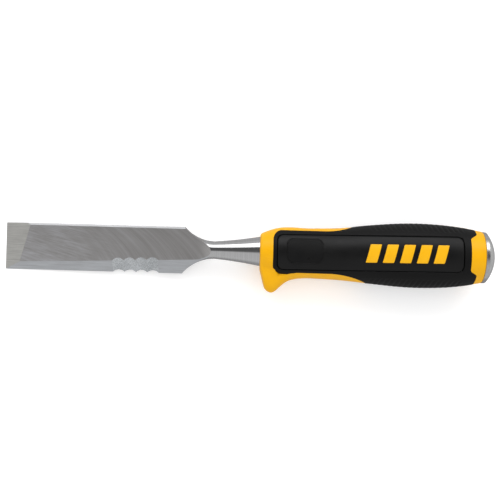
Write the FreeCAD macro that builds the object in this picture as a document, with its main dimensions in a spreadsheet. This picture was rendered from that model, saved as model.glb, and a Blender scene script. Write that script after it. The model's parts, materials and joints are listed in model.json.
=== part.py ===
"""Side-strike wood chisel, 25.4 mm wide, as a FreeCAD parametric document.

The tool lies on its back. +X runs from the cutting edge to the strike cap, +Y points to the
spine side, away from the finger guard, and +Z is normal to the flat back, out of the bevel side.
The origin is on the cutting edge, in the plane of the handle's axis. All sizes are millimetres.
"""
import FreeCAD, Part
import math
import os
import re

import Sketcher

SIZES = {
    # blade, from the cutting edge and from the handle's axis
    "spine_reach": 12.0,
    "side_reach": 13.4,
    "stock_height": 12.0,
    "front_height": 4.46,
    "front_cross_slope": 0.121,
    "front_long_slope": 0.0286,
    "end_bevel_slope": 0.43,
    "side_bevel_slope": 0.853,
    "land_width": 1.0,
    "land_depth": 0.7,
    # serrations in the side bevel
    "scallop_first": 62.2,
    "scallop_pitch": 6.25,
    "scallop_count": 4,
    "scallop_radius": 4.95,
    "scallop_depth": 1.3,
    # shoulder, neck and bolster, turned about the handle's axis
    "axis_height": 4.9,
    "neck_radius": 4.75,
    "neck_start": 100.0,
    "neck_end": 114.7,
    "shoulder_radius": 21.5,
    "shoulder_clear": 16.0,
    "bolster_radius": 8.05,
    "bolster_sweep": 230.0,
    "tongue_start": 103.0,
    "tongue_sweep": 21.0,
    # tang and strike cap
    "tang_radius": 4.0,
    "spigot_radius": 8.0,
    "spigot_length": 6.0,
    "cap_radius": 13.9,
    "cap_band": 2.0,
    "cap_dome": 5.1,
    "cap_edge_radius": 0.5,
    # depths below the handle's outer surface
    "skin_depth": 2.4,
    "plate_depth": 1.3,
    "pad_recess": 0.3,
    "inlay_depth": 0.9,
    "emblem_proud": 0.15,
    "moulding_gap": 0.02,
    # finger guard
    "guard_reach": 22.4,
    "guard_front": 12.0,
    "guard_nose_run": 2.5,
    "guard_nose_drop": 20.4,
    "guard_tip_run": 6.8,
    "guard_tip_drop": 21.7,
    "guard_back_run": 13.0,
    "guard_back_drop": 16.8,
    "guard_heel": 14.6,
    "guard_length": 18.0,
    "guard_tip_radius": 2.6,
    "guard_hollow_radius": 11.0,
    "guard_half_width": 8.0,
    "guard_root": 6.0,
    # black overmould
    "grip_start": 146.0,
    "grip_end": 251.6,
    "grip_tab": 3.7,
    "grip_tab_top": 12.4,
    "grip_tab_bottom": 10.0,
    "grip_tab_slope": 2.9,
    "grip_top": 11.9,
    "grip_bottom": 11.1,
    "grip_chin": 12.3,
    "grip_chin_front": 154.0,
    "grip_chin_back": 159.0,
    "grip_corner": 5.0,
    "grip_top_turn": 174.0,
    "grip_top_sweep": 44.0,
    "grip_bottom_turn": 176.0,
    "grip_bottom_sweep": 50.0,
    # side plate, the thumb pad and the bars let into it
    "plate_start": 148.7,
    "plate_end": 247.2,
    "plate_half_height": 9.2,
    "plate_corner": 3.2,
    "plate_tilt": 0.7,
    "groove_width": 0.55,
    "pad_start": 153.8,
    "pad_end": 172.7,
    "pad_top": 7.2,
    "pad_bottom": 5.6,
    "pad_corner": 3.6,
    "emblem_start": 195.2,
    "emblem_width": 6.0,
    "emblem_step": 8.93,
    "emblem_half_height": 4.9,
    "emblem_lean": 2.6,
}

# Handle sections: name, distance from the cutting edge, half height, half depth, rise.
SECTIONS = (
    ("front", 139.3, 10.0, 10.0, -0.3),
    ("flare", 147.0, 12.8, 12.0, -0.25),
    ("waist", 168.0, 13.6, 12.8, -0.35),
    ("swell", 183.0, 14.2, 13.5, -0.3),
    ("palm", 199.0, 15.85, 14.7, 0.0),
    ("bulge", 222.0, 17.4, 15.5, 0.05),
    ("tail", 248.0, 15.95, 14.7, 0.0),
    ("end", 259.4, 14.0, 14.0, 0.1),
)

EMBLEM_BARS = 5
MARGIN = 10.0
CLEAR = 60.0
WHOLE = 400.0

doc = FreeCAD.newDocument("chisel")
sheet = doc.addObject("Spreadsheet::Sheet", "Sizes")


# ---------------------------------------------------------------- sheet and sketch helpers


def fill_sheet():
    """One row per driving dimension, then four for each handle section."""
    rows = dict(SIZES)
    for name, station, half_height, half_depth, rise in SECTIONS:
        rows[name + "_station"] = station
        rows[name + "_half_height"] = half_height
        rows[name + "_half_depth"] = half_depth
        rows[name + "_rise"] = rise
    for row, (alias, size) in enumerate(rows.items(), start=1):
        sheet.set(f"A{row}", alias)
        sheet.set(f"B{row}", str(size))
        sheet.setAlias(f"B{row}", alias)
    doc.recompute()


def bound(formula):
    """A formula in aliases, as an expression that reads the sheet."""
    return re.sub(
        r"[A-Za-z_]\w*",
        lambda word: "Sizes." + word[0] if sheet.getCellFromAlias(word[0]) else word[0],
        formula,
    )


def value(formula):
    """The number that a formula in aliases stands for now."""
    return float(sheet.evalExpression(bound(formula)))


def new_body(label):
    body = doc.addObject("PartDesign::Body", label)
    body.Label = label
    return body


def origin_part(body, role):
    """One of a body's own origin planes or axes."""
    return next(item for item in body.Origin.OriginFeatures if item.Role == role)


def new_sketch(body, name, role):
    sketch = body.newObject("Sketcher::SketchObject", name)
    sketch.AttachmentSupport = [(origin_part(body, role), "")]
    sketch.MapMode = "FlatFace"
    return sketch


def pin_point(sketch, geometry, end, across, up):
    """Fix one point of an edge at a place given by two formulas."""
    for kind, formula in (("DistanceX", across), ("DistanceY", up)):
        mark = sketch.addConstraint(
            Sketcher.Constraint(kind, -1, 1, geometry, end, value(formula)))
        sketch.setExpression(f"Constraints[{mark}]", bound(formula))


def set_radius(sketch, geometry, formula):
    mark = sketch.addConstraint(
        Sketcher.Constraint("Radius", geometry, abs(value(formula))))
    sketch.setExpression(f"Constraints[{mark}]", f"abs({bound(formula)})")


def arc_between(start, end, radius):
    """The short arc between two points; the radius's sign picks the side it bows to."""
    chord = end - start
    left = FreeCAD.Vector(-chord.y, chord.x, 0).normalize()
    bow = abs(radius) - math.sqrt(radius ** 2 - (chord.Length / 2) ** 2)
    through = (start + end) * 0.5 + left * math.copysign(bow, radius)
    clockwise = radius > 0
    return Part.Arc(end, through, start) if clockwise else Part.Arc(start, through, end)


def end_at(sketch, geometry, place):
    """Which end of an edge, 1 or 2, lies at a place: arcs are all stored anticlockwise."""
    edge = sketch.Geometry[geometry]
    to_start = (edge.StartPoint - place).Length
    to_end = (edge.EndPoint - place).Length
    return 1 if to_start < to_end else 2


def add_outline(sketch, corners):
    """A closed outline. A corner is (across, up), or (across, up, radius) where an arc leads
    to it; a positive radius bows to the left of the way it runs."""
    places = [FreeCAD.Vector(value(corner[0]), value(corner[1]), 0) for corner in corners]
    for index, corner in enumerate(corners):
        start = places[index - 1]
        end = places[index]
        if len(corner) == 2:
            sketch.addGeometry(Part.LineSegment(start, end), False)
        else:
            sketch.addGeometry(arc_between(start, end, value(corner[2])), False)
    for index, corner in enumerate(corners):
        following = (index + 1) % len(corners)
        here = end_at(sketch, index, places[index])
        there = end_at(sketch, following, places[index])
        sketch.addConstraint(
            Sketcher.Constraint("Coincident", index, here, following, there))
        pin_point(sketch, index, here, corner[0], corner[1])
        if len(corner) == 3:
            set_radius(sketch, index, corner[2])
    doc.recompute()


def add_turning_axis(sketch):
    """The handle's axis as a construction line, for what is turned about it."""
    start = FreeCAD.Vector(0, value("axis_height"), 0)
    end = FreeCAD.Vector(value("end_station"), value("axis_height"), 0)
    line = sketch.addGeometry(Part.LineSegment(start, end), True)
    pin_point(sketch, line, 1, "0", "axis_height")
    pin_point(sketch, line, 2, "end_station", "axis_height")
    doc.recompute()
    return (sketch, ["Axis0"])


def add_pad(body, sketch, length, both_ways=False):
    pad = body.newObject("PartDesign::Pad", sketch.Name + "_pad")
    pad.Profile = sketch
    pad.SideType = "Symmetric" if both_ways else "One side"
    pad.setExpression("Length", bound(length))
    doc.recompute()
    return pad


def add_pocket(body, sketch, direction, length=str(WHOLE), both_ways=True):
    """Cut a sketch through the body along a direction, and make sure that it did cut."""
    before = body.Shape.Volume
    pocket = body.newObject("PartDesign::Pocket", sketch.Name + "_cut")
    pocket.Profile = sketch
    pocket.SideType = "Symmetric" if both_ways else "One side"
    pocket.UseCustomVector = True
    pocket.AlongSketchNormal = False
    pocket.Direction = direction
    pocket.setExpression("Length", bound(length))
    doc.recompute()
    if not body.Shape.Volume < before:
        raise ValueError(sketch.Name + " cut nothing")
    return pocket


def boolean(kind, name, first, second):
    """first minus, plus or common with second, as a Part boolean."""
    result = doc.addObject(kind, name)
    result.Label = name
    result.Base = first
    result.Tool = second
    doc.recompute()
    return result


def cut(name, first, second):
    return boolean("Part::Cut", name, first, second)


def common(name, first, second):
    return boolean("Part::Common", name, first, second)


def fuse(name, first, second):
    return boolean("Part::Fuse", name, first, second)


# ---------------------------------------------------------------- blade

def front_face(x, y="0"):
    """Formula for the height of the blade's front face above its back."""
    return f"(front_height + ({x}) * front_long_slope + ({y}) * front_cross_slope)"


def blade_stock(body):
    """The rectangular bar that the blade is ground from."""
    sketch = new_sketch(body, "stock", "YZ_Plane")
    add_outline(sketch, [
        ("-side_reach", "0"),
        ("spine_reach", "0"),
        ("spine_reach", "stock_height"),
        ("-side_reach", "stock_height"),
    ])
    add_pad(body, sketch, "neck_end")


def turned_neck(body):
    """Neck, trumpet-shaped bolster and tang, as one revolution about the handle's axis."""
    sketch = new_sketch(body, "neck", "XZ_Plane")
    neck = "axis_height + neck_radius"
    bolster = "axis_height + bolster_radius"
    tang = "axis_height + tang_radius"
    tang_end = "end_station - spigot_length"
    add_outline(sketch, [
        ("neck_start", "axis_height"),
        ("neck_start", neck),
        ("neck_end", neck),
        ("front_station", bolster, "-bolster_sweep"),
        ("front_station", tang),
        (tang_end, tang),
        (tang_end, "axis_height"),
    ])
    turning = body.newObject("PartDesign::Revolution", "neck_turning")
    turning.Profile = sketch
    turning.ReferenceAxis = add_turning_axis(sketch)
    turning.Angle = 360
    doc.recompute()


def turned_shoulder(body):
    """Round the bar down to the neck with a hollow shoulder."""
    sketch = new_sketch(body, "shoulder", "XZ_Plane")
    rise = "(shoulder_clear - neck_radius)"
    run = f"sqrt(2 * shoulder_radius * {rise} - {rise} * {rise})"
    outside = "axis_height + shoulder_clear"
    add_outline(sketch, [
        ("neck_end", outside),
        (f"neck_end - {run}", outside),
        ("neck_end", "axis_height + neck_radius", "-shoulder_radius"),
    ])
    before = body.Shape.Volume
    groove = body.newObject("PartDesign::Groove", "shoulder_turning")
    groove.Profile = sketch
    groove.ReferenceAxis = add_turning_axis(sketch)
    groove.Angle = 360
    doc.recompute()
    if not body.Shape.Volume < before:
        raise ValueError("the shoulder cut nothing")


def ground_front(body):
    """The sloping front face, which runs out on the neck as a rounded tongue."""
    sketch = new_sketch(body, "front", "XZ_Plane")
    rise = "(stock_height - " + front_face("tongue_start") + ")"
    run = f"sqrt(2 * tongue_sweep * {rise} - {rise} * {rise})"
    before_edge = str(-MARGIN)
    above = "stock_height * 3"
    add_outline(sketch, [
        (before_edge, front_face(before_edge)),
        ("tongue_start", front_face("tongue_start")),
        (f"tongue_start + {run}", "stock_height", "-tongue_sweep"),
        (f"tongue_start + {run}", above),
        (before_edge, above),
    ])
    add_pocket(body, sketch, FreeCAD.Vector(0, 1, value("front_cross_slope")))


def ground_end_bevel(body):
    """The bevel that makes the cutting edge."""
    sketch = new_sketch(body, "end_bevel", "XZ_Plane")
    before_edge = str(-MARGIN)
    add_outline(sketch, [
        (before_edge, "0"),
        ("0", "0"),
        ("stock_height / end_bevel_slope", "stock_height"),
        (before_edge, "stock_height"),
    ])
    add_pocket(body, sketch, FreeCAD.Vector(0, 1, 0))


def ground_side_bevel(body):
    """The long bevel on the side opposite the spine, which makes a second cutting edge."""
    sketch = new_sketch(body, "side_bevel", "YZ_Plane")
    beyond = f"-side_reach - {MARGIN}"
    add_outline(sketch, [
        ("-side_reach", "0"),
        ("stock_height / side_bevel_slope - side_reach", "stock_height"),
        (beyond, "stock_height"),
        (beyond, "0"),
    ])
    add_pocket(body, sketch, FreeCAD.Vector(1, 0, 0))


def ground_spine_land(body):
    """The narrow steep land along the spine's front edge, level with the front face."""
    sketch = new_sketch(body, "spine_land", "YZ_Plane")
    land = "spine_reach - land_width"
    steep = "(land_depth / land_width)"
    top = front_face("0", land)
    add_outline(sketch, [
        (f"{land} + 3 * land_width", f"{top} - {steep} * 3 * land_width"),
        (f"{land} + 3 * land_width", "stock_height"),
        (f"{land} - 2 * land_width", "stock_height"),
        (f"{land} - 2 * land_width", f"{top} + {steep} * 2 * land_width"),
    ])
    add_pocket(body, sketch, FreeCAD.Vector(1, 0, value("front_long_slope")))


def ground_scallops(body):
    """Rounded notches that run down the side bevel, as one cut and its pattern."""
    sketch = new_sketch(body, "scallop", "XZ_Plane")
    centre = "(side_reach - scallop_depth) * side_bevel_slope + scallop_radius"
    place = FreeCAD.Vector(value("scallop_first"), value(centre), 0)
    up = FreeCAD.Vector(0, 0, 1)
    sketch.addGeometry(Part.Circle(place, up, value("scallop_radius")), False)
    pin_point(sketch, 0, 3, "scallop_first", centre)
    set_radius(sketch, 0, "scallop_radius")
    down_slope = FreeCAD.Vector(0, 1, value("side_bevel_slope"))
    first = add_pocket(body, sketch, down_slope, "shoulder_clear * 4")
    row = body.newObject("PartDesign::LinearPattern", "scallop_row")
    row.Originals = [first]
    row.Direction = (origin_part(body, "X_Axis"), [""])
    row.Mode = "Spacing"
    row.setExpression("Offset", bound("scallop_pitch"))
    row.setExpression("Occurrences", bound("scallop_count"))
    body.Tip = row
    doc.recompute()


def make_blade():
    body = new_body("blade")
    blade_stock(body)
    turned_neck(body)
    turned_shoulder(body)
    ground_front(body)
    ground_end_bevel(body)
    ground_side_bevel(body)
    ground_spine_land(body)
    ground_scallops(body)
    return body


# ---------------------------------------------------------------- handle blanks


def handle_blank(name, inset):
    """The handle's outer form, or the same form sunk below its surface by a formula."""
    ellipses = []
    for section, *_ in SECTIONS:
        ellipse = doc.addObject("Part::Ellipse", f"{name}_{section}")
        ellipse.setExpression("MajorRadius", bound(f"{section}_half_height - ({inset})"))
        ellipse.setExpression("MinorRadius", bound(f"{section}_half_depth - ({inset})"))
        upright = FreeCAD.Rotation(FreeCAD.Vector(1, 1, 1), 120)
        ellipse.Placement = FreeCAD.Placement(FreeCAD.Vector(), upright)
        ellipse.setExpression("Placement.Base.x", bound(f"{section}_station"))
        ellipse.setExpression("Placement.Base.y", bound(f"{section}_rise"))
        ellipse.setExpression("Placement.Base.z", bound("axis_height"))
        ellipses.append(ellipse)
    loft = doc.addObject("Part::Loft", name)
    loft.Sections = ellipses
    loft.Solid = True
    loft.Ruled = False
    doc.recompute()
    return loft


def guard_prism(label, role, corners, length, both_ways):
    body = new_body(label)
    sketch = new_sketch(body, label + "_outline", role)
    add_outline(sketch, corners)
    add_pad(body, sketch, length, both_ways)
    return body


def make_guard():
    """The hook in front of the fingers: its side outline crossed with its rounded front."""
    heel = "front_station + guard_length"
    side = guard_prism("guard_side", "XY_Plane", [
        ("front_station", "-guard_root"),
        ("front_station", "-guard_front"),
        ("front_station + guard_nose_run", "-guard_nose_drop"),
        ("front_station + guard_tip_run", "-guard_tip_drop", "-guard_tip_radius"),
        ("front_station + guard_back_run", "-guard_back_drop"),
        (heel, "-guard_heel", "guard_hollow_radius"),
        (heel, "-guard_root"),
    ], str(CLEAR), both_ways=True)
    low = "axis_height - guard_half_width"
    high = "axis_height + guard_half_width"
    shoulder = "guard_half_width - guard_reach"
    face = guard_prism("guard_face", "YZ_Plane", [
        ("-guard_root", low),
        (shoulder, low),
        ("-guard_reach", "axis_height", "guard_half_width"),
        (shoulder, high, "guard_half_width"),
        ("-guard_root", high),
    ], "end_station", both_ways=False)
    return common("guard", side, face)


def through_prism(label, corners, tilted=False):
    """An outline in the plan view, cut right through the handle from side to side."""
    body = new_body(label)
    sketch = new_sketch(body, label + "_outline", "XY_Plane")
    add_outline(sketch, corners)
    add_pad(body, sketch, str(CLEAR), both_ways=True)
    if tilted:
        pivot = FreeCAD.Vector(value("plate_start"), 0, 0)
        turn = FreeCAD.Rotation(FreeCAD.Vector(0, 0, 1), value("plate_tilt"))
        body.Placement = FreeCAD.Placement(FreeCAD.Vector(), turn, pivot)
        doc.recompute()
    return body


def rounded_box(start, end, bottom, top, corner):
    """Outline of a rectangle with rounded corners, from five formulas, run clockwise."""
    bow = f"({corner})"
    return [
        (f"{end} - {corner}", top),
        (end, f"{top} - {corner}", bow),
        (end, f"{bottom} + {corner}"),
        (f"{end} - {corner}", bottom, bow),
        (f"{start} + {corner}", bottom),
        (start, f"{bottom} + {corner}", bow),
        (start, f"{top} - {corner}"),
        (f"{start} + {corner}", top, bow),
    ]


def grip_outline():
    """The overmould in plan: round at the front over a small chin, swept off both edges, tabbed at the back."""
    tab = "(grip_end + grip_tab)"
    return [
        ("grip_top_turn", "grip_top"),
        ("grip_top_turn + grip_top_sweep", "grip_top + grip_top_sweep", "-grip_top_sweep"),
        (tab, "grip_top + grip_top_sweep"),
        (tab, "grip_tab_top"),
        ("grip_end", "grip_tab_top - grip_tab_slope"),
        ("grip_end", "grip_tab_slope - grip_tab_bottom"),
        (tab, "-grip_tab_bottom"),
        (tab, "-grip_bottom - grip_bottom_sweep / 2"),
        ("grip_bottom_turn + grip_bottom_sweep * sqrt(3) / 2",
         "-grip_bottom - grip_bottom_sweep / 2"),
        ("grip_bottom_turn", "-grip_bottom", "-grip_bottom_sweep"),
        ("grip_chin_back", "-grip_bottom"),
        ("grip_chin_front", "-grip_chin"),
        ("grip_start + grip_corner", "-grip_chin"),
        ("grip_start", "grip_corner - grip_chin", "grip_corner"),
        ("grip_start", "grip_top - grip_corner"),
        ("grip_start + grip_corner", "grip_top", "grip_corner"),
    ]


# ---------------------------------------------------------------- handle pieces


def bore(name, radius, start, length):
    """A round hole along the handle's axis, as the cylinder that is taken away."""
    cylinder = doc.addObject("Part::Cylinder", name)
    cylinder.setExpression("Radius", bound(radius))
    cylinder.setExpression("Height", bound(length))
    along = FreeCAD.Rotation(FreeCAD.Vector(0, 1, 0), 90)
    cylinder.Placement = FreeCAD.Placement(FreeCAD.Vector(), along)
    cylinder.setExpression("Placement.Base.x", bound(start))
    cylinder.setExpression("Placement.Base.z", bound("axis_height"))
    doc.recompute()
    return cylinder


def make_core(outer, grip_prism):
    """Hard yellow moulding: the handle's form and guard, less the overmould and the bores."""
    form = fuse("core_form", outer, make_guard())
    floor = handle_blank("core_floor", "skin_depth")
    bared = cut("core_bared", form, cut("grip_room", grip_prism, floor))
    tang = bore("tang_bore", "tang_radius + moulding_gap",
                f"front_station - {MARGIN}", "end_station")
    spigot = bore("spigot_bore", "spigot_radius + moulding_gap",
                  "end_station - spigot_length", "spigot_length * 2")
    return cut("handle_core", cut("core_drilled", bared, tang), spigot)


def make_overmould(outer, grip_prism):
    """Soft black moulding over the core, with a shallow room on each side for the plates."""
    inside = handle_blank("overmould_inside", "skin_depth - moulding_gap")
    skin = cut("overmould_skin", common("overmould_form", outer, grip_prism), inside)
    room = through_prism("plate_room_prism", rounded_box(
        "(plate_start - groove_width)", "(plate_end + groove_width)",
        "(-plate_half_height - groove_width)", "(plate_half_height + groove_width)",
        "(plate_corner + groove_width)"), tilted=True)
    floor = handle_blank("plate_floor", "plate_depth")
    return cut("grip_overmould", skin, cut("plate_room", room, floor))


def make_front_half():
    """Everything on the bevel side of the handle's axis, to keep one of two mirrored lumps."""
    half = doc.addObject("Part::Box", "front_half")
    half.setExpression("Length", bound(f"end_station + {MARGIN}"))
    half.Width = CLEAR * 2
    half.Height = CLEAR
    half.Placement.Base.y = -CLEAR
    half.setExpression("Placement.Base.z", bound("axis_height"))
    doc.recompute()
    return half


def bar_outline(number):
    left = f"(emblem_start + {number} * emblem_step)"
    return [
        (left, "-emblem_half_height"),
        (f"{left} + emblem_width", "-emblem_half_height"),
        (f"{left} + emblem_width + emblem_lean", "emblem_half_height"),
        (f"{left} + emblem_lean", "emblem_half_height"),
    ]


def make_side_pieces(outer):
    """The front side plate with its thumb pad and bars, as a list of finished objects."""
    half = make_front_half()
    plate_prism = through_prism("plate_prism", rounded_box(
        "plate_start", "plate_end", "-plate_half_height", "plate_half_height",
        "plate_corner"), tilted=True)
    pad_prism = through_prism("pad_prism", rounded_box(
        "pad_start", "pad_end", "-pad_bottom", "pad_top", "pad_corner"), tilted=True)
    plate_under = handle_blank("plate_under", "plate_depth - moulding_gap")
    inlay_floor = handle_blank("inlay_floor", "inlay_depth")
    inlay_under = handle_blank("inlay_under", "inlay_depth - moulding_gap")
    pad_face = handle_blank("pad_face", "pad_recess")
    emblem_face = handle_blank("emblem_face", "-emblem_proud")

    def inlay(name, face, prism):
        layer = cut(name + "_layer", common(name + "_form", face, prism), inlay_under)
        return common(name, layer, half)

    plate = common("plate_form", outer, plate_prism)
    plate = common("plate_front", cut("plate_layer", plate, plate_under), half)
    plate = cut("plate_with_pad_room", plate, cut("pad_room", pad_prism, inlay_floor))
    pieces = [inlay("thumb_pad_front", pad_face, pad_prism)]
    for number in range(EMBLEM_BARS):
        prism = through_prism(f"bar_prism_{number + 1}", bar_outline(number), tilted=True)
        room = cut(f"bar_room_{number + 1}", prism, inlay_floor)
        plate = cut(f"plate_with_bar_room_{number + 1}", plate, room)
        pieces.append(inlay(f"emblem_bar_front_{number + 1}", emblem_face, prism))
    plate.Label = "side_plate_front"
    return [plate] + pieces


def mirrored(piece):
    """The same piece on the other side of the handle."""
    name = piece.Label.replace("front", "back")
    copy = doc.addObject("Part::Mirroring", name)
    copy.Label = name
    copy.Source = piece
    copy.Normal = FreeCAD.Vector(0, 0, 1)
    copy.Base = FreeCAD.Vector(0, 0, value("axis_height"))
    doc.recompute()
    return copy


def make_strike_cap():
    """Domed steel cap with the spigot that meets the end of the tang."""
    body = new_body("strike_cap")
    sketch = new_sketch(body, "cap", "XZ_Plane")
    inner_end = "end_station - spigot_length"
    crown = "end_station + cap_band + cap_dome"
    add_outline(sketch, [
        (inner_end, "axis_height"),
        (inner_end, "axis_height + spigot_radius"),
        ("end_station", "axis_height + spigot_radius"),
        ("end_station", "axis_height + cap_radius"),
        ("end_station + cap_band", "axis_height + cap_radius"),
        (crown, "axis_height",
         "(cap_radius * cap_radius + cap_dome * cap_dome) / (2 * cap_dome)"),
    ])
    turning = body.newObject("PartDesign::Revolution", "cap_turning")
    turning.Profile = sketch
    turning.ReferenceAxis = add_turning_axis(sketch)
    turning.Angle = 360
    doc.recompute()
    rim_place = value("end_station + cap_band")
    rims = [f"Edge{n}" for n, edge in enumerate(turning.Shape.Edges, start=1)
            if all(abs(vertex.X - rim_place) < 0.01 for vertex in edge.Vertexes)]
    rim = body.newObject("PartDesign::Fillet", "cap_rim")
    rim.Base = (turning, rims)
    rim.setExpression("Radius", bound("cap_edge_radius"))
    body.Tip = rim
    doc.recompute()
    return body


# ---------------------------------------------------------------- document


def make_all():
    fill_sheet()
    outer = handle_blank("outer_form", "0")
    grip_prism = through_prism("grip_prism", grip_outline())
    nodes = [
        make_blade(),
        make_core(outer, grip_prism),
        make_overmould(outer, grip_prism),
        make_strike_cap(),
    ]
    front = make_side_pieces(outer)
    nodes += front
    nodes += [mirrored(piece) for piece in front]
    return nodes


def check(nodes):
    """Stop on any failed object, and on a node that isn't one valid solid."""
    for item in doc.Objects:
        if "Invalid" in item.State or "Error" in item.State:
            raise ValueError(f"{item.Name} is {item.State}")
    for node in nodes:
        if node.Shape.isNull() or not node.Shape.isValid():
            raise ValueError(node.Label + " has no valid shape")
        if len(node.Shape.Solids) != 1:
            raise ValueError(f"{node.Label} is {len(node.Shape.Solids)} solids")


def export(nodes):
    os.makedirs("parts", exist_ok=True)
    for node in nodes:
        node.Shape.exportStep(f"parts/{node.Label}.step")
        print(node.Label, round(node.Shape.Volume, 1))


parts = make_all()
check(parts)
export(parts)
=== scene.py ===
"""Looks of the side-strike wood chisel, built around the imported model.

Shapes are worked out in millimetres in the model's own frame and turned into metres when a mesh
is made. +X runs from the cutting edge to the strike cap, +Y points away from the finger guard
and +Z out of the bevel side.
"""

import json
import math

import bmesh
import bpy
import numpy as np
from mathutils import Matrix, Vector

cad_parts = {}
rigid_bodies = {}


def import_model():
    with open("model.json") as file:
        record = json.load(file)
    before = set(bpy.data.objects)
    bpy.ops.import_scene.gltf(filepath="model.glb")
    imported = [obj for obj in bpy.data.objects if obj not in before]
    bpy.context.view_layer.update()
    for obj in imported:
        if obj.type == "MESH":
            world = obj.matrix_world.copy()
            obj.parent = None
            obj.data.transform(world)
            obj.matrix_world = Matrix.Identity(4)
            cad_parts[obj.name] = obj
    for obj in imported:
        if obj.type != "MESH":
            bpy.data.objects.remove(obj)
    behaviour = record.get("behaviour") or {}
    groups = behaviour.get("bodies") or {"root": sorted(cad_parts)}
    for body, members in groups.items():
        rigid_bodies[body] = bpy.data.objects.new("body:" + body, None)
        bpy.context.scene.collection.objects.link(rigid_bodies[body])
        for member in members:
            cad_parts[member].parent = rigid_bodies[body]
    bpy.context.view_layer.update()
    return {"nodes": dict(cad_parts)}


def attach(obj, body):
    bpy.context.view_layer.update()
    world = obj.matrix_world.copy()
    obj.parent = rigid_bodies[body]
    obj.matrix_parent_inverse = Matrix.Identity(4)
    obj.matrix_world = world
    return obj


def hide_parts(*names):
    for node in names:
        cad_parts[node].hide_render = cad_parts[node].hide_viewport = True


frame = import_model()

MM = 0.001

# ---------------------------------------------------------------- driving values, millimetres

AXIS = 4.9
FRONT, END = 139.3, 259.4
# station, half height, half depth, rise of each handle section
SECTIONS = np.array([
    (139.3, 10.0, 10.0, -0.3),
    (147.0, 12.8, 12.0, -0.25),
    (168.0, 13.6, 12.8, -0.35),
    (183.0, 14.2, 13.5, -0.3),
    (199.0, 15.85, 14.7, 0.0),
    (222.0, 17.4, 15.5, 0.05),
    (248.0, 15.95, 14.7, 0.0),
    (259.4, 14.0, 14.0, 0.1),
])
# lowest line of the finger guard: station and height under the axis
GUARD_LINE = np.array([
    (139.3, 10.8), (140.0, 12.8), (140.9, 16.0), (141.9, 19.4), (142.9, 20.9), (144.2, 21.8),
    (145.6, 22.2), (146.9, 22.0), (148.2, 21.2), (150.2, 19.3), (152.8, 17.0), (155.4, 15.3),
    (159.0, 13.8), (164.0, 12.0), (172.0, 9.0), (259.4, 9.0),
])
GUARD_HALF_WIDTH = 8.0
GRIP_START, GRIP_END, GRIP_TAB = 146.0, 251.6, 3.7
GRIP_CORNER = 5.0
GRIP_TOP, TOP_TURN, TOP_SWEEP = 11.9, 174.0, 44.0
GRIP_BOTTOM, BOTTOM_TURN, BOTTOM_SWEEP = 11.1, 176.0, 50.0
GRIP_CHIN, CHIN_FRONT, CHIN_BACK = 12.3, 154.0, 159.0
TAB_TOP, TAB_BOTTOM, TAB_SLOPE = 12.4, 10.0, 2.9
# the cover: thickness, height over the skin, width and drop of its rounded lip
SKIN, PROUD, LIP, LIP_DROP = 2.0, 0.12, 0.55, 0.3
PLATE = (148.7, 247.2, -9.2, 9.2, 3.2)
PLATE_TILT = math.radians(0.7)
PLATE_DEPTH = 1.28
GROOVE = 0.42
PAD = (153.8, 172.7, -5.6, 7.2, 3.6)
PAD_RECESS = 0.3
PAD_WALL = 0.2
INLAY_DEPTH = 0.9
# moulding mark in the thumb pad: distance from the pad's rear and lower edges, and depth
MARK_BACK, MARK_UP, MARK_DEPTH = 7.6, 2.2, 0.4
BAR_START, BAR_WIDTH, BAR_STEP, BAR_HALF_HEIGHT, BAR_LEAN = 195.2, 6.0, 8.93, 4.9, 2.6
BAR_COUNT = 5
BAR_PROUD = 0.15
BAR_ROOT = 0.3
RIB_PITCH, RIB_DEPTH, RIB_SLANT = 2.78, 0.26, 0.4
# where the ribs start and stop: height off the axis, stations, and distance in from the lip
RIB_LINE, RIB_START, RIB_STOP, RIB_RIM = (12.4, 13.5), (194.0, 203.0), (247.5, 249.5), (0.8, 2.2)
RIB_FADE = 0.65
# the hard core: fall of its front and rear edges, and how far inside the cover's outline it sinks
CORE_FRONT_EDGE, CORE_REAR_EDGE = 1.4, 0.5
CORE_SINK, CORE_SINK_RUN = 0.3, (0.9, 1.6)
CORE_BORE, BORE_END = 4.1, 160.0
CAP_RADIUS, CAP_BAND, CAP_DOME = 13.9, 2.0, 5.1
CAP_EDGE, CAP_RIM = 0.35, 0.75
SPIGOT, SPIGOT_LENGTH, SPIGOT_CHAMFER = 8.0, 6.0, 0.3
# radius of the small hole that a turned profile leaves round its axis, closed by a flat face
CORE_HOLE, TURNED_HOLE = 0.4, 0.3
NECK_END, NECK_RADIUS, BOLSTER_RADIUS, BOLSTER_SWEEP, TANG_RADIUS = 114.7, 4.75, 8.05, 230.0, 4.0
BOLSTER_CHAMFER = 0.12
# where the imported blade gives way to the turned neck, and the sweep of the tongue before it
NECK_CUT = 114.6
TONGUE_START, TONGUE_SWEEP = 103.6, 21.0
EDGE_BREAK = 0.11
# stations on the blade: end of its flat faces, start of the turned part, end of the tongue beside it
FACES_END, TURNED_START, TONGUE_END = 108.0, 109.5, 114.5
SCALLOP_START, SCALLOP_END, SCALLOP_TOP = 57.0, 85.0, -3.0
# slopes of the ground face along and across the blade, carried on by the tongue
FACE_FALL, FACE_TWIST = -0.028, -0.118
# angle from the top that counts as the spine or guard line, and a distance for "no edge here"
LINE_ANGLE, NO_EDGE = 0.001, 9.0


# ---------------------------------------------------------------- curves and outlines


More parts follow.
